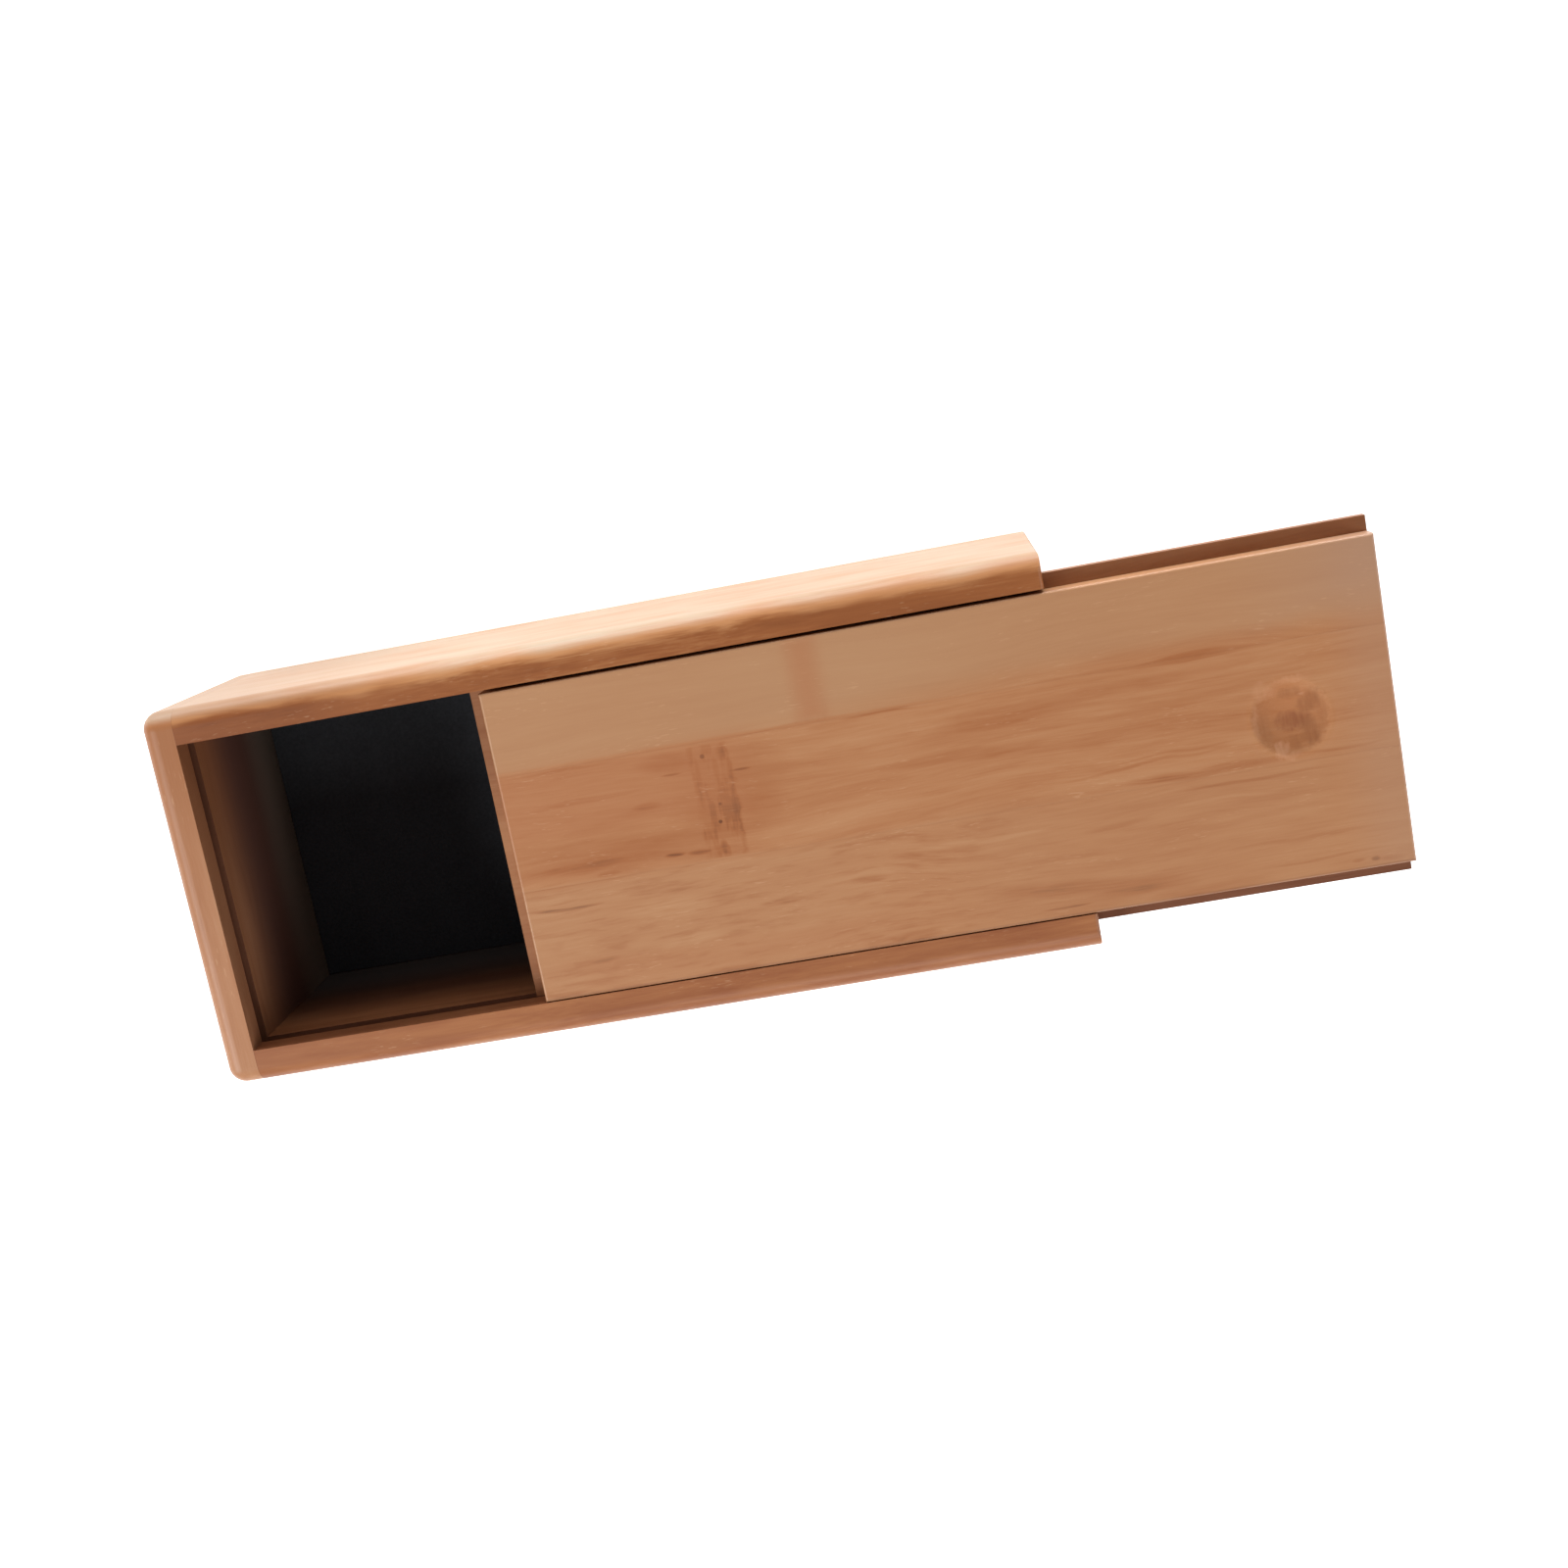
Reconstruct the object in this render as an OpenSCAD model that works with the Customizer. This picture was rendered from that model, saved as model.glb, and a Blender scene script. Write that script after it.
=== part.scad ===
// Sliding-lid wooden box: a long keepsake box of laminated bamboo boards, 7 mm thick.
// The closed end wall runs over the full width, and the two long walls are glued against it.
// The wall at the pull end is lower and stands between the long walls, so that the lid
// slides out over it. The lid is a rebated board: its raised panel is flush with the rim,
// and its tongue runs in one groove that goes round the other three walls.
//
// Frame: millimetres, +Z up with the lid on top, +X the way the lid is pulled,
// origin on the base, under the middle of the box. The lid stands part open.

/* [Box] */
// Length of the box, from the closed end to the pull end
box_l = 179; // [140:1:240]
// Width of the box over its long walls
box_w = 78; // [60:1:110]
// Height of the box, from the base to the rim
box_h = 55.5; // [40:0.5:80]
// Thickness of the wall boards
wall_t = 7; // [6.5:0.1:9]
// Radius of the round on the outer edges and on the closed end's corners
edge_r = 3.6; // [1.5:0.1:4.2]
// Radius that takes the sharpness off the pull end's outer edges
soft_r = 0.8; // [0.3:0.1:1.4]

/* [Floor] */
// Thickness of the floor board, let in between the walls
floor_t = 3.2; // [2.5:0.1:5]
// Thickness of the black liner that lies on the floor board
liner_t = 0.8; // [0.5:0.1:2]
// Space left between the liner and each wall
liner_gap = 0.3; // [0.1:0.1:1.5]

/* [Lid] */
// Thickness of the lid board
lid_t = 8.5; // [6.5:0.1:9.5]
// Thickness of the tongue that the rebate leaves along three edges
tongue_t = 2.8; // [2.5:0.1:4]
// Width of the tongue, beyond the raised panel
tongue_w = 3; // [2:0.1:4]
// Radius of the tongue's two leading corners, seen from above
tongue_r = 2.2; // [1:0.1:3]
// Radius that takes the sharpness off the raised panel's edges
panel_r = 0.5; // [0.2:0.1:1]
// Gap between the raised panel and the back wall, which the photograph shows
back_gap = 0.65; // [0.3:0.05:1]
// Gap between the raised panel and the front wall, where the lid has dropped to
front_gap = 0.15; // [0.1:0.05:1]
// Gap between the raised panel and the closed end wall, with the lid shut
end_gap = 0.5; // [0.2:0.1:1.5]
// How far the lid is pulled out, from shut
lid_open = 61; // [0:0.5:110]

/* [Groove] */
// Play between the tongue and the groove, above and below the tongue
slide_play = 0.2; // [0.1:0.05:0.4]
// Space between the tongue's outer edge and the bottom of the groove
groove_play = 0.4; // [0.3:0.05:0.6]

/* [Thumb dish] */
// Width of the round dish across its mouth
dish_d = 15.6; // [12:0.1:24]
// Depth of the dish
dish_depth = 2.3; // [1.6:0.1:3]
// Radius of the round that leads from the lid's face into the dish
dish_lip_r = 1.2; // [0.4:0.1:1.6]
// Distance from the pull end to the middle of the dish
dish_from_end = 19.5; // [16:0.1:40]

/* [Hidden] */
$fn = 96;
// How far a cutting solid runs past the face that it cuts
past = 1;

// Inner faces of the walls
inner_x = box_l / 2 - wall_t;
inner_y = box_w / 2 - wall_t;

// Raised panel of the lid: its four edges, shut, and its middle line
panel_x0 = -inner_x + end_gap;
panel_x1 = box_l / 2;
panel_y0 = -inner_y + front_gap;
panel_y1 = inner_y - back_gap;
panel_mid_y = (panel_y0 + panel_y1) / 2;

// Heights of the lid's faces and of the groove's
lid_z0 = box_h - lid_t;
tongue_z1 = lid_z0 + tongue_t;
groove_z0 = lid_z0 - slide_play;
groove_z1 = tongue_z1 + slide_play;
// The groove is cut alike in both long walls, deep enough for the tongue on either side
groove_y = inner_y - min(front_gap, back_gap) + tongue_w + groove_play;
groove_x0 = panel_x0 - tongue_w - groove_play;
groove_r = tongue_r + groove_play;

// Ball that the thumb dish is cut with: its radius, and its centre's height over the lid's
// face. The lip is a ring whose round touches both the ball and the face
dish_drop = dish_depth - 2 * dish_lip_r;
dish_r = (pow(dish_d / 2, 2) + dish_depth * dish_drop) / (2 * dish_depth);
dish_rise = dish_r - dish_depth;

wood_light = [0.80, 0.60, 0.42];
wood_mid = [0.74, 0.53, 0.36];
wood_end = [0.68, 0.47, 0.31];
liner_black = [0.07, 0.07, 0.08];

// Rectangle from (x0, y0) to (x1, y1) with its own radius at each corner. The radii go
// round from the first corner: [low left, low right, high right, high left]
module soft_rect(x0, y0, x1, y1, r) {
    corners = [[x0, y0], [x1, y0], [x1, y1], [x0, y1]];
    inward = [[1, 1], [-1, 1], [-1, -1], [1, -1]];
    difference() {
        translate([x0, y0]) square([x1 - x0, y1 - y0]);
        for (i = [0:3]) if (r[i] > 0) {
            centre = corners[i] + r[i] * inward[i];
            difference() {
                translate(corners[i] - inward[i] * past)
                    mirror([inward[i].x < 0 ? 1 : 0, 0]) mirror([0, inward[i].y < 0 ? 1 : 0])
                        square(r[i] + past);
                translate(centre) circle(r[i]);
            }
        }
    }
}

// Cross-section in Y and Z, extruded along X from x0 to x1
module along_x(x0, x1) {
    translate([x0, 0, 0]) rotate([90, 0, 90]) linear_extrude(x1 - x0) children();
}

// Side view in X and Z, extruded along Y from y0 to y1
module along_y(y0, y1) {
    translate([0, y1, 0]) rotate([90, 0, 0]) linear_extrude(y1 - y0) children();
}

// Plan in X and Y, extruded upwards from z0 to z1
module upwards(z0, z1) {
    translate([0, 0, z0]) linear_extrude(z1 - z0) children();
}

// Groove for the tongue: one flat cut round three walls, open at the pull end, with the
// cutter's radius in its two corners
module groove_cut() {
    upwards(groove_z0, groove_z1)
        soft_rect(groove_x0, -groove_y, box_l / 2 + past, groove_y, [groove_r, 0, 0, groove_r]);
}

// Closed end wall: its outer face runs into all four edges and corners with one radius
module end_wall_closed() {
    x0 = -box_l / 2;
    round_x = x0 + edge_r;
    side_y = box_w / 2 - edge_r;
    low_z = edge_r;
    high_z = box_h - edge_r;
    color(wood_light) difference() {
        union() {
            along_x(round_x, -inner_x)
                soft_rect(-box_w / 2, 0, box_w / 2, box_h, [edge_r, edge_r, edge_r, edge_r]);
            along_x(x0, round_x) translate([-side_y, low_z]) square([2 * side_y, high_z - low_z]);
            for (y = [-side_y, side_y])
                translate([round_x, y, low_z]) cylinder(r = edge_r, h = high_z - low_z);
            for (z = [low_z, high_z])
                translate([round_x, side_y, z]) rotate([90, 0, 0]) cylinder(r = edge_r, h = 2 * side_y);
            for (y = [-side_y, side_y], z = [low_z, high_z])
                translate([round_x, y, z]) sphere(edge_r);
        }
        // The rounds' solids may reach past the inner face, where the long walls begin
        along_x(-inner_x, -inner_x + edge_r)
            translate([-box_w / 2 - past, -past]) square([box_w + 2 * past, box_h + 2 * past]);
        groove_cut();
    }
}

// Low wall at the pull end: it ends at the groove's lower face, and the lid covers it
module end_wall_low() {
    color(wood_light) along_y(-inner_y, inner_y)
        soft_rect(inner_x, 0, box_l / 2, groove_z0, [0, soft_r, soft_r, 0]);
}

// One long wall, on the +Y side: rounded outer edges, grooved inside, square at both ends
module long_wall() {
    difference() {
        intersection() {
            along_x(-inner_x, box_l / 2)
                soft_rect(inner_y, 0, box_w / 2, box_h, [0, edge_r, edge_r, 0]);
            upwards(0, box_h)
                soft_rect(-inner_x, inner_y, box_l / 2, box_w / 2, [0, 0, soft_r, 0]);
            along_y(inner_y, box_w / 2)
                soft_rect(-inner_x, 0, box_l / 2, box_h, [0, soft_r, soft_r, 0]);
        }
        groove_cut();
    }
}

module wall_back() {
    color(wood_mid) long_wall();
}

module wall_front() {
    color(wood_mid) mirror([0, 1, 0]) long_wall();
}

// Floor board: glued in between the four walls, flush with their lower edges
module floor_board() {
    color(wood_end) translate([-inner_x, -inner_y, 0]) cube([2 * inner_x, 2 * inner_y, floor_t]);
}

// Liner: a thin black sheet laid on the floor board
module floor_liner() {
    x = inner_x - liner_gap;
    y = inner_y - liner_gap;
    color(liner_black) translate([-x, -y, floor_t]) cube([2 * x, 2 * y, liner_t]);
}

// Cutter for the thumb dish, its mouth at z = 0: a ball, and round it the space over the lip
module thumb_dish() {
    lip = [dish_d / 2, -dish_lip_r];
    translate([0, 0, dish_rise]) sphere(dish_r);
    rotate_extrude() difference() {
        polygon([[0, dish_rise], lip, [lip.x, dish_rise]]);
        translate(lip) circle(dish_lip_r);
    }
}

// Lid, drawn shut: the tongue's full board below, the raised panel on it, the dish cut in
module lid_shut() {
    difference() {
        union() {
            upwards(lid_z0, tongue_z1)
                soft_rect(panel_x0 - tongue_w, panel_y0 - tongue_w, panel_x1, panel_y1 + tongue_w,
                          [tongue_r, 0, 0, tongue_r]);
            intersection() {
                along_x(panel_x0, panel_x1)
                    soft_rect(panel_y0, lid_z0, panel_y1, box_h, [0, 0, panel_r, panel_r]);
                along_y(panel_y0, panel_y1)
                    soft_rect(panel_x0, lid_z0, panel_x1, box_h, [0, 0, panel_r, panel_r]);
            }
        }
        translate([panel_x1 - dish_from_end, panel_mid_y, box_h]) thumb_dish();
    }
}

module lid() {
    color(wood_light) translate([lid_open, 0, 0]) lid_shut();
}

end_wall_closed();
end_wall_low();
wall_front();
wall_back();
floor_board();
floor_liner();
lid();
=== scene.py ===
# Sliding-lid box of pressed bamboo boards with a black felt liner, its lid part open.
import math

import bpy
from mathutils import Matrix, Vector, noise


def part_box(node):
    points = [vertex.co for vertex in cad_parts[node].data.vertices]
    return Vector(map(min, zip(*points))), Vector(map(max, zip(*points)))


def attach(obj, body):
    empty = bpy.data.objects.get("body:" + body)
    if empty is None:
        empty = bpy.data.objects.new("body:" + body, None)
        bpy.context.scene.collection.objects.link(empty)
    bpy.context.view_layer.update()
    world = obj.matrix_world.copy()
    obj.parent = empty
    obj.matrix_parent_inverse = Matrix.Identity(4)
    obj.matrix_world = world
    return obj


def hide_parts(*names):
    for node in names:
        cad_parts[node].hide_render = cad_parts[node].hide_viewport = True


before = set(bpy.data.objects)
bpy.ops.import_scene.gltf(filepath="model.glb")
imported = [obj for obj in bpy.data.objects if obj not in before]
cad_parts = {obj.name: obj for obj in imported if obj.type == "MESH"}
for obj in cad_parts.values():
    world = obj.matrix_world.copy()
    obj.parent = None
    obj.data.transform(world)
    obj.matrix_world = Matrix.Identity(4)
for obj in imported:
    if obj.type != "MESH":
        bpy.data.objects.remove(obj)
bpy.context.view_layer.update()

MM = 0.001


# ---------------------------------------------------------------- camera

def set_camera():
    """Looks down on the lid, a little from behind the back wall, as the photograph does.
    The numbers come from a fit of the box's edges to those in the photograph."""
    data = bpy.data.cameras.new("camera")
    data.sensor_width = 36
    data.lens = 45.028
    data.clip_start = 0.01
    camera = bpy.data.objects.new("camera", data)
    bpy.context.scene.collection.objects.link(camera)
    place = Matrix.Translation((0.0745, 0.074116, 0.425843))
    right = Vector((0.979865, -0.186621, -0.070973))
    up = Vector((0.169123, 0.964722, -0.201764))
    back = Vector((0.106123, 0.185698, 0.976859))
    camera.matrix_world = place @ Matrix((right, up, back)).transposed().to_4x4()
    bpy.context.scene.camera = camera


set_camera()


# ---------------------------------------------------------------- node wiring

def linear(*rgb):
    """Colour as a shader reads it, from sRGB values of 0 to 255."""
    def one(c):
        c /= 255
        return c / 12.92 if c <= 0.04045 else ((c + 0.055) / 1.055) ** 2.4
    return tuple(one(c) for c in rgb) + (1,)


class Wiring:
    """Adds nodes to a tree. A value given for an input is a number, or a socket to link."""

    def __init__(self, tree):
        self.tree = tree

    def put(self, node, key, value):
        socket = node.inputs[key]
        if isinstance(value, bpy.types.NodeSocket):
            self.tree.links.new(value, socket)
        else:
            socket.default_value = value

    def node(self, kind, inputs=None, **settings):
        made = self.tree.nodes.new(kind)
        for name, value in settings.items():
            setattr(made, name, value)
        for key, value in (inputs or {}).items():
            self.put(made, key, value)
        return made

    def math(self, operation, a, b=0.0, c=0.0, clamp=False):
        made = self.node("ShaderNodeMath", {0: a, 1: b, 2: c}, operation=operation,
                         use_clamp=clamp)
        return made.outputs[0]

    def vector(self, operation, a, b):
        made = self.node("ShaderNodeVectorMath", {0: a, 1: b}, operation=operation)
        return made.outputs[0]

    def split(self, vector):
        return self.node("ShaderNodeSeparateXYZ", {0: vector}).outputs

    def join(self, x, y, z):
        return self.node("ShaderNodeCombineXYZ", {0: x, 1: y, 2: z}).outputs[0]

    def place_mm(self):
        """Place on the model, in millimetres."""
        place = self.node("ShaderNodeTexCoord").outputs["Object"]
        return self.vector("MULTIPLY", place, (1 / MM, 1 / MM, 1 / MM))

    def noise(self, vector, scale=1.0, detail=2.0, rough=0.5):
        made = self.node("ShaderNodeTexNoise", {"Vector": vector, "Scale": scale,
                                                "Detail": detail, "Roughness": rough})
        return made.outputs["Fac"]

    def span(self, value, low, high, to_low=0.0, to_high=1.0, smooth=True):
        """Carries value from low..high to to_low..to_high, and holds it there beyond."""
        made = self.node("ShaderNodeMapRange", {"Value": value, "From Min": low,
                         "From Max": high, "To Min": to_low, "To Max": to_high},
                         interpolation_type="SMOOTHSTEP" if smooth else "LINEAR")
        return made.outputs[0]

    def fade(self, value, low, high):
        """1 below low, 0 above high."""
        return self.span(value, low, high, 1.0, 0.0)

    def blend(self, share, a, b):
        """Colour a, with a share of colour b over it."""
        return self.node("ShaderNodeMix", {0: share, 6: a, 7: b}, data_type="RGBA").outputs[2]

    def ramp(self, value, stops):
        made = self.node("ShaderNodeValToRGB", {0: value})
        points = made.color_ramp.elements
        while len(points) < len(stops):
            points.new(0.5)
        for point, (place, colour) in zip(points, stops):
            point.position = place
            point.color = colour
        return made.outputs[0]

    def mix_shaders(self, share, a, b):
        return self.node("ShaderNodeMixShader", {0: share, 1: a, 2: b}).outputs[0]

    def use(self, group, inputs):
        return self.node("ShaderNodeGroup", inputs, node_tree=group).outputs


KINDS = {"value": "NodeSocketFloat", "vector": "NodeSocketVector"}


def new_group(name, inputs, outputs):
    """Empty shader group. Returns its wiring, what it is given, and a function that takes its
    results and returns the group. inputs and outputs are {kind: names of sockets}."""
    tree = bpy.data.node_groups.new(name, "ShaderNodeTree")
    for side, sockets in (("INPUT", inputs), ("OUTPUT", outputs)):
        for kind, labels in sockets.items():
            for label in labels:
                tree.interface.new_socket(name=label, in_out=side, socket_type=KINDS[kind])
    wiring = Wiring(tree)
    entry = wiring.node("NodeGroupInput")
    leave = wiring.node("NodeGroupOutput")

    def hand_over(results):
        for label, value in results.items():
            wiring.put(leave, label, value)
        return tree

    return wiring, entry.outputs, hand_over


def new_material(name):
    material = bpy.data.materials.new(name)
    material.use_nodes = True
    material.node_tree.nodes.clear()
    return material, Wiring(material.node_tree)


# ---------------------------------------------------------------- bamboo

def bamboo_grain():
    """Pressed bamboo strips side by side. Place is in millimetres: X along the fibres,
    Y across the strips, Z through the board. Line is how far the fibres sway across."""
    w, given, hand_over = new_group(
        "bamboo_grain",
        {"vector": ["Place"],
         "value": ["Strip Width", "Strip Start", "Seed", "Strip Contrast", "Streaks"]},
        {"value": ["Tone", "Fleck", "Seam", "Height", "Dash", "Line", "Threads"]})
    along, across, through = w.split(given["Place"])
    # Strip number, and how far across its strip a point lies
    place = w.math("DIVIDE", w.math("SUBTRACT", across, given["Strip Start"]),
                   given["Strip Width"])
    strip = w.math("FLOOR", place)
    inside = w.math("SUBTRACT", place, strip)
    # Each strip is cut from another place of the stem, so its pattern is its own
    own = w.math("MULTIPLY_ADD", strip, 7.31, given["Seed"])
    shift = w.math("MULTIPLY", own, 91.7)
    tone_of = w.node("ShaderNodeTexWhiteNoise", {"W": own}, noise_dimensions="1D")

    def fibres(length, width, detail=1, rough=0.5, side=across):
        """Pattern of fibres of about this size in millimetres, round zero."""
        place = w.join(w.math("MULTIPLY_ADD", along, 1 / length, shift),
                       w.math("DIVIDE", side, width), w.math("DIVIDE", through, width))
        return w.math("SUBTRACT", w.noise(place, detail=detail, rough=rough), 0.5)

    # Fibres waver slowly along the board
    swayed = w.math("MULTIPLY_ADD", fibres(60, 26), 9.0, across)
    broad = fibres(46, 6.5, detail=2, side=swayed)
    middle = fibres(24, 1.7, detail=3, rough=0.6, side=swayed)
    fine = fibres(10, 0.42, detail=2, rough=0.6, side=swayed)
    streak = w.math("MULTIPLY_ADD", broad, 0.5,
                    w.math("MULTIPLY_ADD", middle, 0.42, w.math("MULTIPLY", fine, 0.24)))
    level = w.math("SUBTRACT", tone_of.outputs["Value"], 0.5)
    tone = w.math("MULTIPLY_ADD", level, given["Strip Contrast"],
                  w.math("MULTIPLY_ADD", streak, given["Streaks"], 0.5))
    # Short pale dashes where the plane has opened a fibre, in some places only
    opened = w.span(fibres(2.4, 0.32, side=swayed), 0.13, 0.25)
    fleck = w.math("MULTIPLY", opened, w.span(fibres(13, 6), -0.03, 0.15))
    # Glue seam between two strips
    edge = w.math("MULTIPLY", w.math("MINIMUM", inside, w.math("SUBTRACT", 1.0, inside)),
                  given["Strip Width"])
    seam = w.fade(edge, 0.05, 0.3)
    height = w.math("MULTIPLY_ADD", fine, 0.6,
                    w.math("MULTIPLY_ADD", middle, 0.35, w.math("MULTIPLY", seam, -0.2)))
    dark_dash = fibres(6.5, 1.1, detail=2, side=swayed)
    return hand_over({
        "Tone": tone, "Fleck": fleck, "Seam": seam, "Height": height,
        "Dash": w.span(dark_dash, -0.05, 0.3),
        "Line": w.math("MULTIPLY", fibres(15, 9), 2.2),
        "Threads": w.span(fine, -0.2, 0.15)})


def bamboo_knuckle():
    """Joint of the stem on one strip: a darker patch of crossing fibres, and the halo of
    darker wood that it fades into along the strip."""
    w, given, hand_over = new_group(
        "bamboo_knuckle",
        {"vector": ["Place"],
         "value": ["Along", "Across", "Half Length", "Half Width", "Seed"]},
        {"value": ["Patch", "Halo"]})
    along, across = w.split(given["Place"])[:2]
    shifted = w.vector("ADD", given["Place"], w.join(given["Seed"], given["Seed"], 0.0))
    ragged = w.math("SUBTRACT", w.noise(shifted, 0.4), 0.5)
    du = w.math("MULTIPLY_ADD", ragged, 3.0, w.math("SUBTRACT", along, given["Along"]))
    far_u = w.math("DIVIDE", w.math("ABSOLUTE", du), given["Half Length"])
    dv = w.math("ABSOLUTE", w.math("SUBTRACT", across, given["Across"]))
    on_strip = w.fade(w.math("SUBTRACT", dv, given["Half Width"]), -0.4, 0.15)
    # Crossing fibres stand in columns across the strip, and the last column has no gaps
    columns = w.noise(w.vector("MULTIPLY", shifted, (0.62, 0.13, 0.4)), rough=0.6)
    from_last = w.math("ABSOLUTE", w.math("SUBTRACT", far_u, 0.86))
    last = w.math("MULTIPLY", w.fade(from_last, 0.0, 0.16), w.span(du, -0.5, 0.5))
    body = w.math("MAXIMUM", w.span(columns, 0.44, 0.62), w.math("MULTIPLY", last, 0.8))
    patch = w.math("MULTIPLY", w.fade(far_u, 0.8, 1.1), on_strip)
    return hand_over({
        "Patch": w.math("MULTIPLY", patch, w.math("MULTIPLY_ADD", body, 0.65, 0.35)),
        "Halo": w.math("MULTIPLY", w.fade(far_u, 0.7, 3.2), on_strip)})


def fibre_streak():
    """One streak of darker fibres, which may run at a slant. Line and Threads come from
    the grain, and a short streak follows Line less."""
    w, given, hand_over = new_group(
        "fibre_streak",
        {"vector": ["Place"],
         "value": ["Line", "Threads", "Along", "Across", "Half Length", "Half Width",
                   "Slope"]},
        {"value": ["Mask"]})
    along, across = w.split(given["Place"])[:2]
    du = w.math("SUBTRACT", along, given["Along"])
    sway = w.math("MULTIPLY", given["Line"], w.span(given["Half Length"], 1, 8, smooth=False))
    middle = w.math("ADD", w.math("MULTIPLY_ADD", du, given["Slope"], given["Across"]), sway)
    u = w.math("DIVIDE", du, given["Half Length"])
    v = w.math("DIVIDE", w.math("SUBTRACT", across, middle), given["Half Width"])
    far = w.math("MULTIPLY_ADD", u, u, w.math("MULTIPLY", v, v))
    threads = w.math("MULTIPLY_ADD", given["Threads"], 0.6, 0.5)
    return hand_over({"Mask": w.math("MULTIPLY", w.fade(far, 0.0, 1.0), threads)})


def cut_surface():
    """Where a board was routed, sawn or glued: 1 inside a box of the board, 0 outside it.
    Low and High are the box's corners, and Soft how wide its border is, in millimetres."""
    w, given, hand_over = new_group(
        "cut_surface", {"vector": ["Place", "Low", "High", "Soft"]}, {"value": ["Inside"]})
    nearest = None
    for more, less in (("Place", "Low"), ("High", "Place")):
        inwards = w.vector("DIVIDE", w.vector("SUBTRACT", given[more], given[less]),
                           given["Soft"])
        for side in w.split(inwards):
            nearest = side if nearest is None else w.math("MINIMUM", nearest, side)
    return hand_over({"Inside": w.span(nearest, -0.5, 0.5)})


def thumb_dish_marks():
    """Turned dish. Spot is the place seen from the dish's centre, a little smeared. Inside is
    the rougher wood, Turned all that the cutter touched, Bands the fibres it cut across."""
    w, given, hand_over = new_group(
        "thumb_dish_marks",
        {"vector": ["Place", "Centre"], "value": ["Radius"]},
        {"vector": ["Spot"], "value": ["Inside", "Turned", "Bands", "Facets"]})
    x, y, z = w.split(w.vector("SUBTRACT", given["Place"], given["Centre"]))
    # The marks end under the dish, and don't reach the board's other side
    x = w.math("ADD", x, w.span(z, -3.6, -2.8, 100.0, 0.0))
    offset = w.join(x, y, z)
    far = w.math("SQRT", w.math("MULTIPLY_ADD", x, x, w.math("MULTIPLY", y, y)))
    edge = w.math("SUBTRACT", far, given["Radius"])

    def smear(place, scale):
        return w.math("SUBTRACT", w.noise(place, scale, detail=3, rough=0.6), 0.5)

    smear_x = smear(offset, 0.4)
    smear_y = smear(w.vector("ADD", offset, (40, 0, 0)), 0.5)
    spot = w.vector("ADD", offset, w.join(w.math("MULTIPLY", smear_x, 3.4),
                                          w.math("MULTIPLY", smear_y, 3.4), 0.0))
    bands = w.noise(w.vector("MULTIPLY", offset, (1.5, 0.16, 1)), rough=0.6)
    facets = w.node("ShaderNodeTexVoronoi", {"Vector": offset, "Scale": 0.28,
                                             "Smoothness": 0.35}, feature="SMOOTH_F1")
    ragged_edge = w.math("MULTIPLY_ADD", smear_x, 2.6, edge)
    return hand_over({
        "Spot": spot, "Turned": w.fade(edge, 0.1, 1.3),
        "Inside": w.fade(ragged_edge, -2.4, -0.2), "Bands": w.span(bands, 0.22, 0.78),
        "Facets": w.math("MULTIPLY", facets.outputs["Distance"], w.fade(edge, -1.5, -0.4))})


GRAIN = bamboo_grain()
KNUCKLE = bamboo_knuckle()
STREAK = fibre_streak()
CUT = cut_surface()
DISH = thumb_dish_marks()

# Colours of carbonised bamboo under a satin oil: knots, deep, middle and pale fibres
LID_WOOD = linear(112, 64, 34), linear(164, 100, 57), linear(180, 123, 81), linear(199, 151, 110)
FRONT_WOOD = linear(96, 53, 30), linear(145, 85, 50), linear(166, 107, 66), linear(190, 138, 96)
BACK_WOOD = linear(88, 44, 21), linear(132, 73, 34), linear(151, 89, 46), linear(187, 131, 84)
END_WOOD = linear(96, 55, 31), linear(153, 96, 59), linear(175, 121, 84), linear(192, 147, 111)
# Tones at which a wood shows those four colours
TONES = 0.0, 0.25, 0.5, 0.9
# Opened fibres, and the line of a glue joint
FLECK = linear(212, 168, 130)
SPOT = linear(106, 60, 34)
# Routed wood, in its dark and its light fibres
ROUTED_DEEP = linear(84, 46, 29)
ROUTED = linear(119, 71, 49)
# Shades of parts of the lid and the closed end wall's back; the grey one is a painted reflection
TAN = linear(182, 139, 102)
PAINTED_REFLECTION = linear(174, 134, 108)
BROWN = linear(160, 102, 62)
RUDDY = linear(174, 110, 70)
# Painted light on the back faces, from its border outwards, and less at the closed end
PAINTED_LIGHT_EDGE = linear(190, 134, 88)
PAINTED_LIGHT = linear(185, 163, 138)
PAINTED_LIGHT_DIM = linear(150, 112, 79)
# Painted shade on the inner faces, darker half way down and greyer near the floor
DUSK_END = linear(96, 64, 56)
UNLIT_END = linear(146, 130, 116)
DUSK_FRONT = linear(66, 42, 34)
UNLIT_FRONT = linear(108, 108, 108)
# Painted shade on the floor board beside the felt
PAINTED_SHADE_FLOOR = linear(40, 38, 38)
# Thumb dish; its pale colour is painted light on its slopes
DISH_RED = linear(134, 76, 47)
DISH_BROWN = linear(146, 92, 56)
DISH_PAINTED_LIGHT = linear(206, 152, 116)

STRIP_W = 23.5
# How much darker a joint of the stem is, and the wood beside it
KNUCKLE_DARK, HALO_DARK = 0.42, 0.14
# How much of their own colour flecks and seams show
FLECK_SHARE, SEAM_SHARE = 0.25, 0.07
# How much rougher and duller a routed or sawn face is
CUT_ROUGHER, CUT_DULLER = 0.2, 0.6
# How much darker and rougher the dish is, and how high its facets stand
DISH_DARK, DISH_ROUGHER, DISH_FACETS = 0.38, 0.3, 2.5


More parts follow.
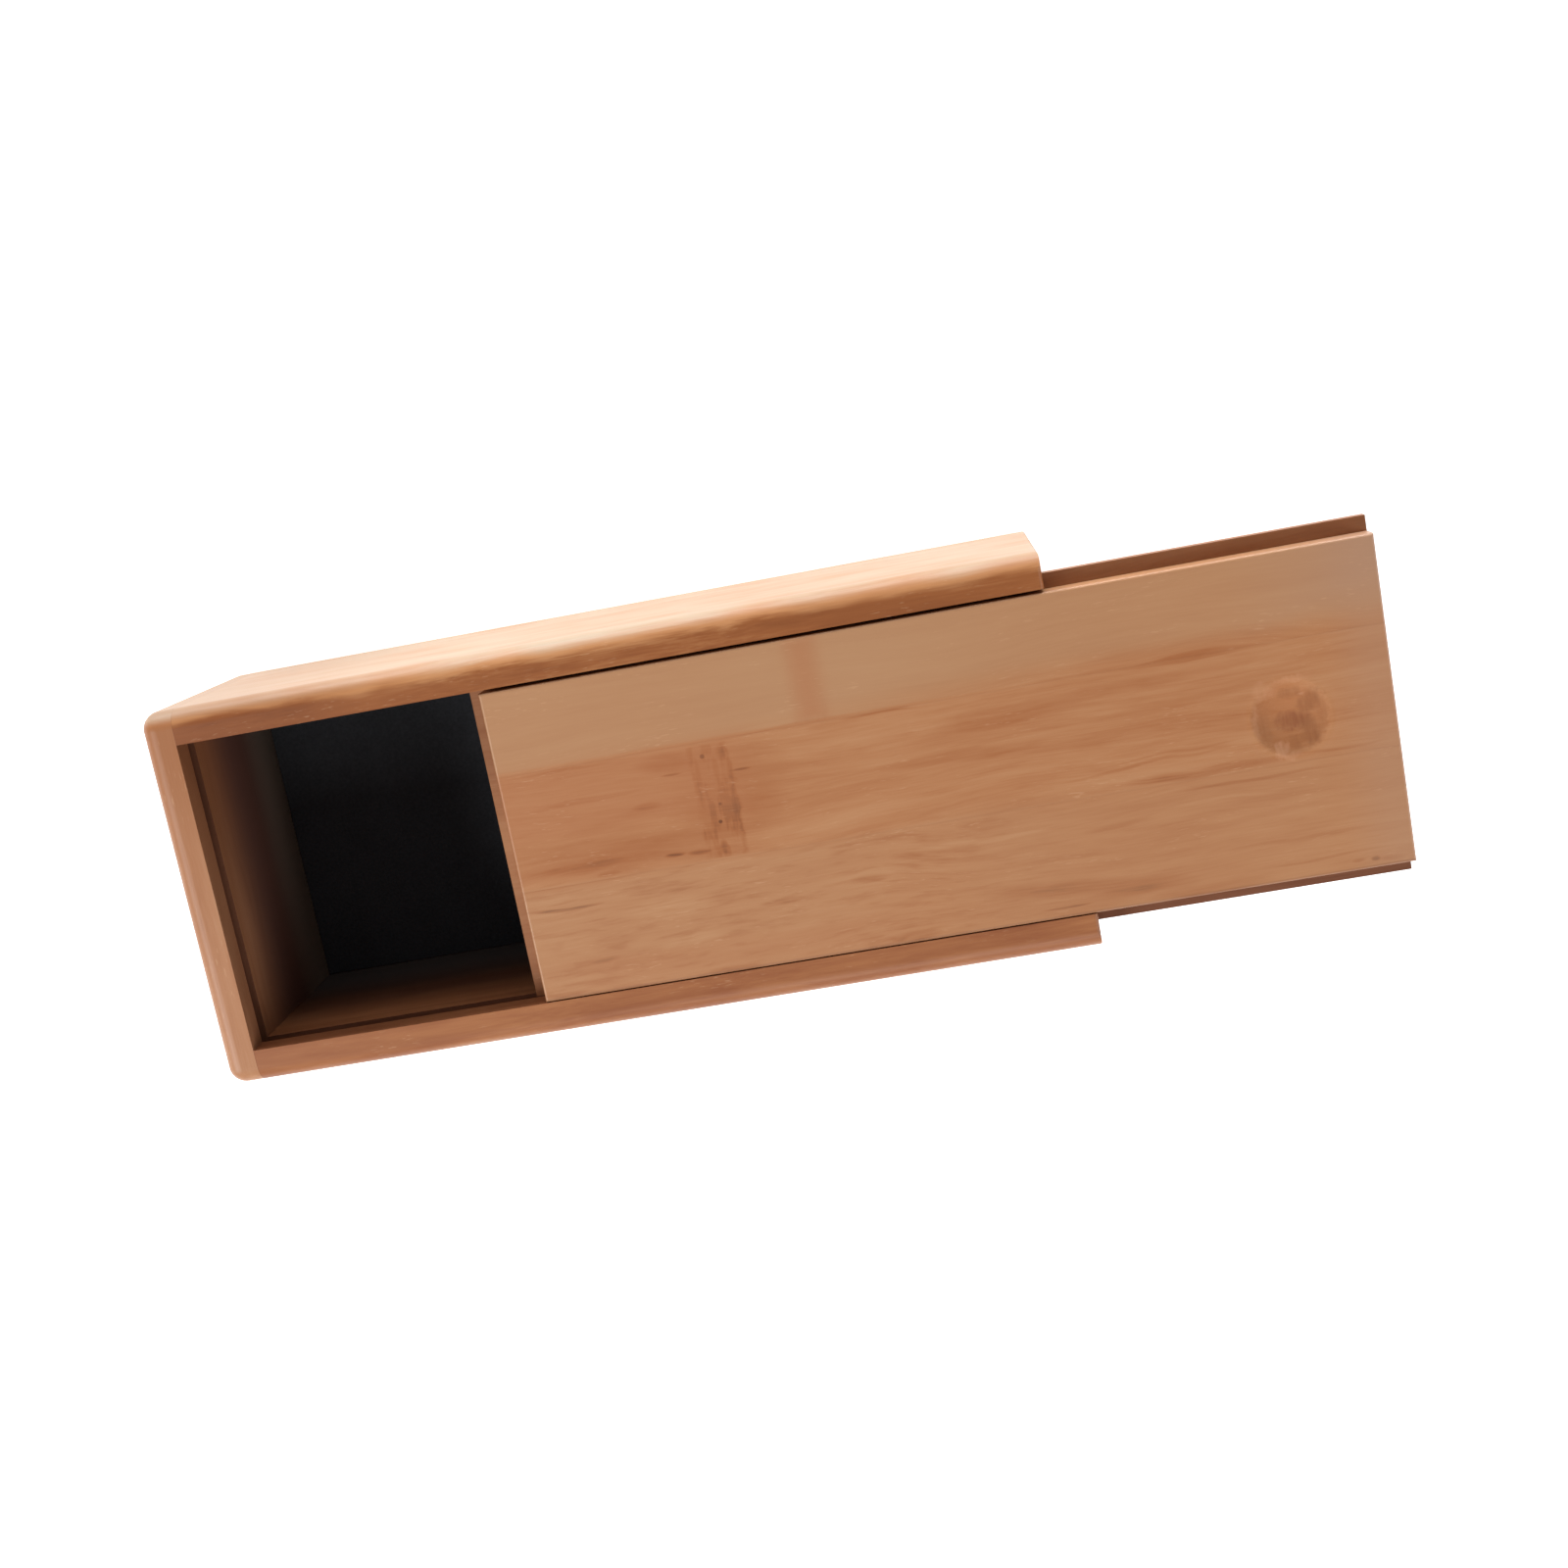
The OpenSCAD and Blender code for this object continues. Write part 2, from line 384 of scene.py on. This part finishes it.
def board_material(name, wood, across_axis="y", start=0.0, seed=0.0, contrast=0.3,
                   streaks=1.0, knuckles=(), marks=(), mottled=(), tinted=(), cuts_and_painted_shade=(),
                   stains_and_painted_light=(), dish=None, coat=0.4, painted_light_from=None):
    """One bamboo board. across_axis is the model axis that runs across its strips, and the
    third axis left over is its thickness. All places and sizes are in millimetres.
    knuckles: (along, across, half length, half width, strength)
    marks: streaks, (along, across, half length, half width, slope, strength); a strength
    below 0 makes a pale one
    mottled and cuts: (low corner, high corner, softness, strength), the softness as one
    number or one for each axis; on the lid's front edge they also carry painted shade
    tinted and stains: the same with a colour at the end, and a stain lies over the cuts;
    among them are painted light, painted shade and a painted reflection
    dish: (centre, radius, patches), and a patch is a mark with a colour at the end
    sunlit: y where the paler outer face begins, and its border follows the fibres"""
    material, w = new_material(name)
    place = w.place_mm()
    x, y, z = w.split(place)
    board_place = w.join(*{"y": (x, y, z), "z": (x, z, y), "end": (y, z, x)}[across_axis])

    def share_of(low, high, soft, strength):
        soft = soft if isinstance(soft, tuple) else (soft, soft, soft)
        inside = w.use(CUT, {"Place": place, "Low": low, "High": high, "Soft": soft})
        return w.math("MULTIPLY", inside["Inside"], strength)

    def streak(where, line, threads, along, across, half_length, half_width, slope):
        return w.use(STREAK, {"Place": where, "Line": line, "Threads": threads,
                              "Along": along, "Across": across, "Half Length": half_length,
                              "Half Width": half_width, "Slope": slope})["Mask"]

    # Tone of the fibres, from 0 for the darkest to about 1
    grain = w.use(GRAIN, {"Place": board_place, "Strip Width": STRIP_W, "Strip Start": start,
                          "Seed": seed, "Strip Contrast": contrast, "Streaks": streaks})
    tone = grain["Tone"]
    for i, (along, across, half_length, half_width, strength) in enumerate(knuckles):
        mark = w.use(KNUCKLE, {"Place": board_place, "Along": along, "Across": across,
                               "Half Length": half_length, "Half Width": half_width,
                               "Seed": seed + 5.3 * i})
        tone = w.math("MULTIPLY_ADD", mark["Patch"], -KNUCKLE_DARK * strength, tone)
        tone = w.math("MULTIPLY_ADD", mark["Halo"], -HALO_DARK * strength, tone)
    for *shape, strength in marks:
        mask = streak(board_place, grain["Line"], grain["Threads"], *shape)
        tone = w.math("MULTIPLY_ADD", mask, -strength, tone)
    for box in mottled:
        dashes = w.math("MULTIPLY", share_of(*box), grain["Dash"])
        tone = w.math("SUBTRACT", tone, dashes)

    # Colour of the planed and oiled wood
    colour = w.ramp(tone, list(zip(TONES, wood)))
    for *box, shade in tinted:
        colour = w.blend(share_of(*box), colour, shade)
    # Painted light on the outer face: a warmer band up to the border, and paler beyond it
    if painted_light_from:
        off_middle = w.math("SUBTRACT", tone, 0.5)
        past_border = w.math("MULTIPLY_ADD", off_middle, 3.0,
                             w.math("MULTIPLY_ADD", grain["Line"], 1.4,
                                    w.math("SUBTRACT", y, painted_light_from)))
        evenness = w.math("MULTIPLY_ADD", off_middle, 0.9, 0.86, clamp=True)
        for near, far, shade in ((-1.6, 0.0, PAINTED_LIGHT_EDGE), (0.0, 3.1, PAINTED_LIGHT)):
            share = w.math("MULTIPLY", w.span(past_border, near, far), evenness)
            colour = w.blend(share, colour, shade)
    colour = w.blend(w.math("MULTIPLY", grain["Fleck"], FLECK_SHARE), colour, FLECK)
    colour = w.blend(w.math("MULTIPLY", grain["Seam"], SEAM_SHARE), colour, SPOT)

    # Pale fibres take the oil better, and a cut face takes less of it
    rough = w.span(tone, 0.2, 0.8, to_low=0.5, to_high=0.42, smooth=False)
    height = grain["Height"]
    full_coat = coat
    routed = w.blend(w.span(tone, 0.2, 0.8), ROUTED_DEEP, ROUTED)
    for box in cuts_and_painted_shade:
        share = share_of(*box)
        colour = w.blend(share, colour, routed)
        rough = w.math("MULTIPLY_ADD", share, CUT_ROUGHER, rough)
        coat = w.math("MULTIPLY_ADD", share, -CUT_DULLER, coat, clamp=True)
    for *box, shade in stains_and_painted_light:
        colour = w.blend(share_of(*box), colour, shade)
    if dish:
        centre, radius, patches = dish
        turned = w.use(DISH, {"Place": place, "Centre": centre, "Radius": radius})
        deep_fibres = wood[1]
        colour = w.blend(w.math("MULTIPLY", turned["Inside"], DISH_DARK), colour, deep_fibres)
        for *shape, strength, shade in patches:
            mask = streak(turned["Spot"], 0.0, turned["Bands"], *shape)
            colour = w.blend(w.math("MULTIPLY", mask, strength, clamp=True), colour, shade)
        rough = w.math("MULTIPLY_ADD", turned["Turned"], DISH_ROUGHER, rough)
        coat = w.math("MULTIPLY_ADD", turned["Turned"], -full_coat, coat, clamp=True)
        height = w.math("MULTIPLY_ADD", turned["Facets"], DISH_FACETS, height)
    bump = w.node("ShaderNodeBump", {"Height": height, "Strength": 0.35, "Distance": 0.12 * MM})
    shader = w.node("ShaderNodeBsdfPrincipled",
                    {"Base Color": colour, "Roughness": rough, "Specular IOR Level": 0.3,
                     "Coat Weight": coat, "Coat Roughness": 0.35, "Normal": bump.outputs[0]})
    w.node("ShaderNodeOutputMaterial", {"Surface": shader.outputs[0]})
    return material


def dress(node, material):
    """Gives a CAD node its material on all its slots."""
    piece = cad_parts[node]
    if not piece.material_slots:
        piece.data.materials.append(material)
    for slot in piece.material_slots:
        slot.material = material


def box_mm(node):
    low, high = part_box(node)
    return [c / MM for c in low], [c / MM for c in high]


# ---------------------------------------------------------------- boards

# Sizes of the CAD model that its boxes don't show, in millimetres
TONGUE_T, TONGUE_W, SLIDE_PLAY = 2.8, 3.0, 0.2
DISH_FROM_END, DISH_Y, DISH_R = 19.5, -0.25, 7.8

# Heights and places that the masks follow, in millimetres
wall_low, wall_high = box_mm("wall_back")
lid_low, lid_high = box_mm("lid")
inner_x = -wall_low[0]
inner_y = wall_low[1]
box_end = wall_high[0]
rim = wall_high[2]
tongue_top = lid_low[2] + TONGUE_T
panel_front = lid_low[1] + TONGUE_W
groove_low = box_mm("end_wall_low")[1][2]
groove_top = tongue_top + SLIDE_PLAY

# How far a mask runs off the board, goes in under a face, or stays clear of the next face
FAR, SKIN, CLEAR = 300, 0.05, 0.02
# How wide a mask's border is at an edge of a board, in the groove, and at the panel's foot
EDGE_SOFT, GROOVE_SOFT, PANEL_SOFT = 0.04, 0.05, 0.2
# From a wall's inner face to past the bottom of the groove
GROOVE_REACH = 4.5
# The panel's masks begin just over the tongue
panel_low = tongue_top + 0.12

# What the cutter left in the thumb dish, seen from its centre, and pale painted light on its
# slopes
DISH_PATCHES = [
    (0.6, 4.5, 3.4, 1.4, 0.0, 0.5, DISH_BROWN), (4.0, 2.4, 2.9, 2.9, 0.3, 0.8, DISH_BROWN),
    (0.4, -0.9, 4.4, 2.2, 0.0, 0.8, DISH_RED), (3.4, -3.2, 2.5, 3.4, -0.2, 0.8, DISH_BROWN),
    (0.5, -4.8, 2.3, 1.8, 0.0, 0.45, DISH_BROWN), (-5.3, -1.8, 1.9, 3.8, 0.0, 0.3, DISH_BROWN),
    (6.0, -0.8, 1.4, 4.2, 0.0, 0.3, DISH_BROWN), (-2.6, -5.9, 1.5, 2.0, 0.0, 0.6, DISH_PAINTED_LIGHT),
    (-1.2, -7.4, 2.8, 0.9, 0.0, 0.35, DISH_PAINTED_LIGHT), (-4.4, 5.6, 2.6, 2.2, 0.0, 0.3, DISH_PAINTED_LIGHT),
    (0.8, 7.2, 4.2, 1.0, 0.0, 0.3, DISH_PAINTED_LIGHT), (2.6, 4.1, 1.0, 0.7, 0.0, 0.35, DISH_PAINTED_LIGHT),
    (-6.6, 0.5, 0.9, 4.5, 0.0, 0.3, DISH_PAINTED_LIGHT)]

# Streaks on the lid, as it lies in the photograph
LID_MARKS = [
    (-13.0, -13.6, 10.0, 0.5, 0.0, 0.5), (-6, 7.2, 15, 0.8, 0.02, 0.22),
    (-8, 13.4, 14, 0.4, 0.0, 0.15), (7, 3.8, 3.6, 1.0, 0.0, 0.22), (-8, -5.6, 10, 1.4, 0.0, 0.1),
    (-3, -8.0, 3, 0.7, 0.0, 0.15), (12, 12.0, 7, 2.6, 0.0, 0.16), (13, 9.3, 2.6, 0.3, 0.0, 0.3),
    (10.6, -6.6, 2.6, 0.6, 0.0, 0.3), (15.5, -6.8, 3.0, 0.7, 0.0, 0.22),
    (-5, 1.5, 9, 1.2, 0.0, 0.08), (30, 8.0, 8, 6.5, 0.0, 0.1), (30, 1.0, 6, 4.5, 0.0, 0.08),
    (19.6, 11.8, 0.6, 0.6, 0.0, 0.5), (20.7, -1.5, 0.5, 0.5, 0.0, 0.48),
    (21.3, 2.0, 0.4, 0.4, 0.0, 0.35), (20.5, -6.5, 1.0, 1.9, 0.0, 0.22),
    (26.6, 8.0, 2.4, 0.35, 0.0, 0.25), (18.2, 7.0, 0.7, 5.5, 0.0, 0.14),
    (24.3, 2.5, 0.9, 10.5, 0.0, 0.1), (21.8, 9.0, 0.8, 3.5, 0.0, 0.12),
    (23.4, 12.0, 1.4, 2.0, 0.0, 0.16), (-5, -22.0, 6, 2.4, 0.0, 0.12),
    (30, -19.2, 5, 0.9, 0.0, 0.15), (47, -17.6, 5, 1.0, 0.0, 0.16),
    (54, -30.6, 6, 1.3, 0.0, 0.24), (18, -31.2, 7, 0.9, 0.0, 0.28),
    (-17, -30.9, 7, 0.6, 0.0, 0.3), (8, -17, 11, 3.0, 0.0, -0.16), (10, -24, 8, 2.0, 0.0, -0.12),
    (-15, -11, 6, 1.5, 0.0, -0.1), (54, 14.0, 9, 0.4, 0.0, 0.3), (68, 3.4, 19, 1.8, 0.0, 0.15),
    (46, 13, 7, 1.6, 0.0, 0.1), (76, 8.6, 16, 1.5, 0.03, 0.16), (98, 11.0, 38, 1.5, 0.04, 0.13),
    (112, 14.6, 20, 0.8, 0.01, 0.2), (110, 6.4, 20, 1.3, 0.03, 0.13),
    (102, -4.6, 20, 0.5, 0.06, 0.16), (108, -3.2, 16, 0.35, 0.05, 0.12),
    (114, -7.8, 22, 1.1, 0.0, 0.28), (106, -8.1, 8, 0.7, 0.0, 0.1),
    (124, -10.9, 18, 0.45, 0.0, 0.22), (140, -7.4, 10, 0.4, 0.02, 0.18),
    (88, -26.2, 24, 2.2, -0.1, 0.2), (97, -28.6, 9, 1.2, 0.0, 0.13),
    (112, -30.6, 14, 1.6, 0.0, 0.2), (84, -29.7, 6, 0.35, 0.0, 0.3),
    (136, -28.3, 16, 0.4, 0.0, 0.2), (130, -23.6, 18, 0.6, 0.0, 0.12),
    (143, -30.0, 1.1, 0.7, 0.0, 0.42), (139.8, -29.9, 1.6, 0.5, 0.0, 0.2),
    (146, -30.4, 3.0, 0.7, 0.0, 0.2), (96, -15.2, 8, 0.8, 0.02, 0.14),
    (84, -20, 10, 0.8, 0.02, 0.12), (-2, -4.5, 26, 5.5, 0.0, 0.13),
    (58, -23, 22, 0.7, 0.01, 0.1), (122, -18, 22, 0.9, 0.02, 0.1),
    (70, -13.5, 18, 0.7, 0.02, -0.12), (118, -13.6, 16, 0.7, 0.0, -0.1)]


def on_panel(x0, x1, y0, y1, soft_x, soft_y, *rest):
    """Area of the lid's raised panel. rest is the strength, and the colour if there is one."""
    return (x0, y0, panel_low), (x1, y1, FAR), (soft_x, soft_y, PANEL_SOFT), *rest


def under_panel(y0, y1, soft, strength):
    """Part of the lid under the panel, which has the tongue."""
    return (-FAR, y0, -FAR), (FAR, y1, panel_low), soft, strength


dress("lid", board_material(
    "bamboo_lid", LID_WOOD, start=-9.0, seed=3.0, contrast=0.0, streaks=0.8,
    knuckles=[(21.0, 2.7, 4.2, 11.4, 0.42), (42.0, 23.0, 3.4, 8.2, 0.2)],
    marks=LID_MARKS,
    mottled=[on_panel(-FAR, 70, -FAR, -9.0, 40, 2, 0.17),
             on_panel(-FAR, FAR, -FAR, 15.0, 1, 1, 0.06)],
    tinted=[on_panel(-FAR, 70, 15.1, FAR, 80, 0.9, 0.55, TAN),
            on_panel(30, FAR, 17.5, FAR, 60, 5, 0.5, TAN),
            on_panel(-FAR, 60, -FAR, -9.0, 70, 3, 0.3, TAN),
            on_panel(39.5, 44.8, 15.5, 31.0, 5, 3, 0.5, RUDDY),
            on_panel(-FAR, 26, 0.5, 15, 16, 6, 0.4, RUDDY),
            on_panel(-12, 48, -FAR, -25, 20, 3, 0.2, RUDDY),
            on_panel(66, FAR, -FAR, -8, 30, 8, 0.22, TAN),
            # Painted reflection: the pull end greyer and paler, most at its back corner
            on_panel(140, FAR, 22, FAR, 44, 16, 0.8, PAINTED_REFLECTION),
            on_panel(143, FAR, -FAR, FAR, 12, 1, 0.35, PAINTED_REFLECTION)],
    cuts_and_painted_shade=[under_panel(-FAR, FAR, PANEL_SOFT, 0.16),
          under_panel(10, FAR, (1, 22, PANEL_SOFT), 0.35),
          under_panel(-FAR, -12, (1, 22, PANEL_SOFT), 0.2),
          # Routed wood on the front tongue and the panel's front edge, darkened further as
          # painted shade
          under_panel(-FAR, panel_front, 0.1, 0.85),
          on_panel(-FAR, FAR, -FAR, panel_front + 0.55, 1, 0.4, 0.35)],
    dish=((lid_high[0] - DISH_FROM_END, DISH_Y, rim), DISH_R, DISH_PATCHES)))


def dress_long_wall(name, wood, side, seed, coat, rim_marks, painted_light_from=None, own_painted_light=()):
    """side is 1 for the back wall and -1 for the front wall."""
    def layer(depth, low, high):
        """Corners of a layer of the wall, from its inner face to a depth."""
        y0, y1 = sorted((side * (inner_y - 2), side * (inner_y + depth)))
        return (-FAR, y0, low), (FAR, y1, high)

    dress(name, board_material(
        "bamboo_" + name, wood, across_axis="z", start=-4.0, seed=seed, contrast=0.2,
        coat=coat, marks=rim_marks, painted_light_from=painted_light_from,
        cuts_and_painted_shade=[(*layer(SKIN, -FAR, rim - CLEAR), EDGE_SOFT, 0.45),
              (*layer(GROOVE_REACH, groove_low - SKIN, groove_top + SKIN), GROOVE_SOFT, 0.9)],
        stains_and_painted_light=[((-FAR, -FAR, -FAR), (-inner_x + 0.15, FAR, FAR), 0.1, 0.35, SPOT),
                # Painted shade down the inner face, darker half way down and greyer near the
                # floor
                (*layer(SKIN, -FAR, 35), (1, EDGE_SOFT, 14), 0.6, DUSK_FRONT),
                (*layer(SKIN, -FAR, 19), (1, EDGE_SOFT, 20), 0.9, UNLIT_FRONT),
                *own_painted_light]))


# The back wall's outer face carries painted light, dimmer towards the closed end
dress_long_wall("wall_back", BACK_WOOD, side=1, seed=11.0, coat=0.2,
                rim_marks=[(5, rim, 46, 5, 0.0, -0.14), (-66, rim, 26, 5, 0.0, 0.2)],
                painted_light_from=inner_y + 4.5,
                own_painted_light=[((-FAR, inner_y + 5.2, -FAR), (-52, FAR, FAR), (54, 2, 1), 0.66,
                             PAINTED_LIGHT_DIM)])
dress_long_wall("wall_front", FRONT_WOOD, side=-1, seed=17.0, coat=0.1,
                rim_marks=[(-66, rim, 34, 5, 0.0, 0.12)])


def end_inside(top, soft, *rest):
    """Inner face of the closed end wall, up to a height. rest is as in on_panel."""
    return (-inner_x - SKIN, -inner_y, -FAR), (FAR, inner_y, top), soft, *rest


def end_behind(y, soft_y, strength, shade):
    """Part of the closed end wall that lies behind y."""
    return (-FAR, y, -FAR), (FAR, FAR, FAR), (1, soft_y, 1), strength, shade


dress("end_wall_closed", board_material(
    "bamboo_end_wall_closed", END_WOOD, across_axis="end", start=-2.0, seed=23.0, contrast=0.2,
    streaks=0.8, coat=0.12,
    # Painted light on the wall's back face, as on the back wall
    tinted=[end_behind(10, 44, 0.85, BROWN), end_behind(inner_y + 5.4, 2.4, 0.85, PAINTED_LIGHT)],
    cuts_and_painted_shade=[end_inside(rim - CLEAR, EDGE_SOFT, 0.5),
          ((-inner_x - GROOVE_REACH, -inner_y - GROOVE_REACH, groove_low - SKIN),
           (FAR, inner_y + GROOVE_REACH, groove_top + SKIN), GROOVE_SOFT, 0.9)],
    # Painted shade down the inner face, and dimmer painted light on the back face
    stains_and_painted_light=[end_inside(37, (EDGE_SOFT, 1, 20), 0.9, DUSK_END),
            end_inside(16, (EDGE_SOFT, 1, 16), 0.85, UNLIT_END),
            end_behind(inner_y + 5.8, 1.6, 0.72, PAINTED_LIGHT_DIM)]))
dress("end_wall_low", board_material(
    "bamboo_end_wall_low", END_WOOD, across_axis="end", start=-2.0, seed=29.0, contrast=0.2,
    cuts_and_painted_shade=[((-FAR, -inner_y, -FAR), (inner_x + SKIN, inner_y, FAR), EDGE_SOFT, 0.75),
          ((-FAR, -FAR, groove_low - CLEAR), (box_end - 0.6, FAR, FAR), EDGE_SOFT, 0.7)]))
# Painted shade on the floor board's upper face beside the felt
dress("floor_board", board_material(
    "bamboo_floor_board", FRONT_WOOD, start=-9.0, seed=37.0,
    stains_and_painted_light=[((-FAR, -FAR, 2.6), (FAR, FAR, FAR), 0.2, 0.9, PAINTED_SHADE_FLOOR)]))


# ---------------------------------------------------------------- felt liner

def felt_material():
    material, w = new_material("black_felt")
    place = w.place_mm()
    matted = w.noise(place, 1.6, detail=4, rough=0.65)
    clumps = w.noise(place, 0.12)
    share = w.math("MULTIPLY_ADD", matted, 0.7, w.math("MULTIPLY", clumps, 0.3))
    colour = w.ramp(share, [(0.3, linear(55, 57, 60)), (0.7, linear(72, 74, 79))])
    bump = w.node("ShaderNodeBump", {"Height": matted, "Strength": 0.6, "Distance": 0.3 * MM})
    shader = w.node("ShaderNodeBsdfPrincipled",
                    {"Base Color": colour, "Roughness": w.span(matted, 0.3, 0.7, 0.9, 1.0),
                     "Specular IOR Level": 0.15, "Normal": bump.outputs[0]})
    w.node("ShaderNodeOutputMaterial", {"Surface": shader.outputs[0]})
    return material


FELT_T = 0.6 * MM
# How deep the felt lies under the CAD liner's face, how much it swells, and how its edges drop
FELT_DOWN, FELT_SWELL = 0.1 * MM, 0.09 * MM
FELT_EDGE_W, FELT_EDGE_DROP = 1.5 * MM, 0.16 * MM
SWELLS_PER_METRE = 160


def make_liner():
    """Felt sheet, cut a little smaller than the floor and laid flat on it. Its face is not
    quite even, and its cut edges are soft."""
    low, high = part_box("floor_liner")
    middle = (low + high) / 2
    size = high - low
    bpy.ops.object.select_all(action="DESELECT")
    bpy.ops.mesh.primitive_grid_add(x_subdivisions=110, y_subdivisions=42, size=1,
                                    location=(middle.x, middle.y, high.z))
    liner = bpy.context.active_object
    liner.name = liner.data.name = "felt_liner"
    liner.scale = (size.x, size.y, 1)
    bpy.ops.object.transform_apply(location=True, rotation=False, scale=True)
    for vertex in liner.data.vertices:
        co = vertex.co
        place = Vector((co.x * SWELLS_PER_METRE, co.y * SWELLS_PER_METRE, 3.1))
        swell = FELT_SWELL * noise.noise(place)
        edge = min(co.x - low.x, high.x - co.x, co.y - low.y, high.y - co.y)
        drop = FELT_EDGE_DROP * max(0.0, 1 - edge / FELT_EDGE_W) ** 2
        co.z = high.z - FELT_DOWN + swell - drop
    solid = liner.modifiers.new("thickness", "SOLIDIFY")
    solid.thickness = FELT_T
    solid.offset = -1
    bpy.ops.object.modifier_apply(modifier="thickness")
    bpy.ops.object.shade_smooth_by_angle(angle=math.radians(40))
    liner.data.materials.append(felt_material())
    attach(liner, "box")
    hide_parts("floor_liner")


make_liner()


# ---------------------------------------------------------------- floor and light

def make_floor():
    """Pale matte floor, which the camera and reflections see as white."""
    bpy.ops.object.select_all(action="DESELECT")
    bpy.ops.mesh.primitive_plane_add(size=8, location=(0, 0, -0.2 * MM))
    floor = bpy.context.active_object
    floor.name = "studio_floor"
    material, w = new_material("white_floor")
    matte = w.node("ShaderNodeBsdfDiffuse", {"Color": (0.86, 0.86, 0.86, 1)}).outputs[0]
    glow = w.node("ShaderNodeEmission", {"Color": (1, 1, 1, 1), "Strength": 0.8}).outputs[0]
    rays = w.node("ShaderNodeLightPath").outputs
    seen = w.math("MAXIMUM", rays["Is Camera Ray"],
                  w.math("MAXIMUM", rays["Is Glossy Ray"], rays["Is Transmission Ray"]))
    glowing = w.node("ShaderNodeAddShader", {0: matte, 1: glow}).outputs[0]
    w.node("ShaderNodeOutputMaterial", {"Surface": w.mix_shaders(seen, matte, glowing)})
    floor.data.materials.append(material)


def make_world():
    """Weak even light from all round, which the camera sees as white."""
    world = bpy.data.worlds.new("studio")
    bpy.context.scene.world = world
    world.use_nodes = True
    world.node_tree.nodes.clear()
    w = Wiring(world.node_tree)
    seen = w.node("ShaderNodeLightPath").outputs["Is Camera Ray"]
    fill, white = (w.node("ShaderNodeBackground",
                          {"Color": (1, 1, 1, 1), "Strength": strength}).outputs[0]
                   for strength in (0.19, 1.0))
    w.node("ShaderNodeOutputWorld", {"Surface": w.mix_shaders(seen, fill, white)})


def soft_light(name, place, aim, size, power):
    data = bpy.data.lights.new(name, "AREA")
    data.shape = "RECTANGLE"
    data.size, data.size_y = size
    data.energy = power
    lamp = bpy.data.objects.new(name, data)
    bpy.context.scene.collection.objects.link(lamp)
    lamp.location = place
    lamp.rotation_euler = (Vector(aim) - Vector(place)).to_track_quat("-Z", "Y").to_euler()


make_floor()
make_world()
for name, place, aim_z, size, power in (
        ("left_light", (-0.9, -0.35, 0.75), 0.05, (0.5, 0.5), 10),
        ("right_light", (1.0, -0.3, 0.55), 0.05, (0.5, 0.5), 4.5),
        ("front_light", (0.03, -0.9, 0.8), 0.05, (0.5, 0.5), 5),
        ("window_light", (0.03, 0.8, 0.28), 0.03, (1.2, 0.35), 3),
        ("horizon_light", (0.03, 0.7, 0.04), 0.04, (1.4, 0.08), 7.3)):
    soft_light(name, place, (0.03, 0, aim_z), size, power)

bpy.context.scene.view_settings.view_transform = "Standard"
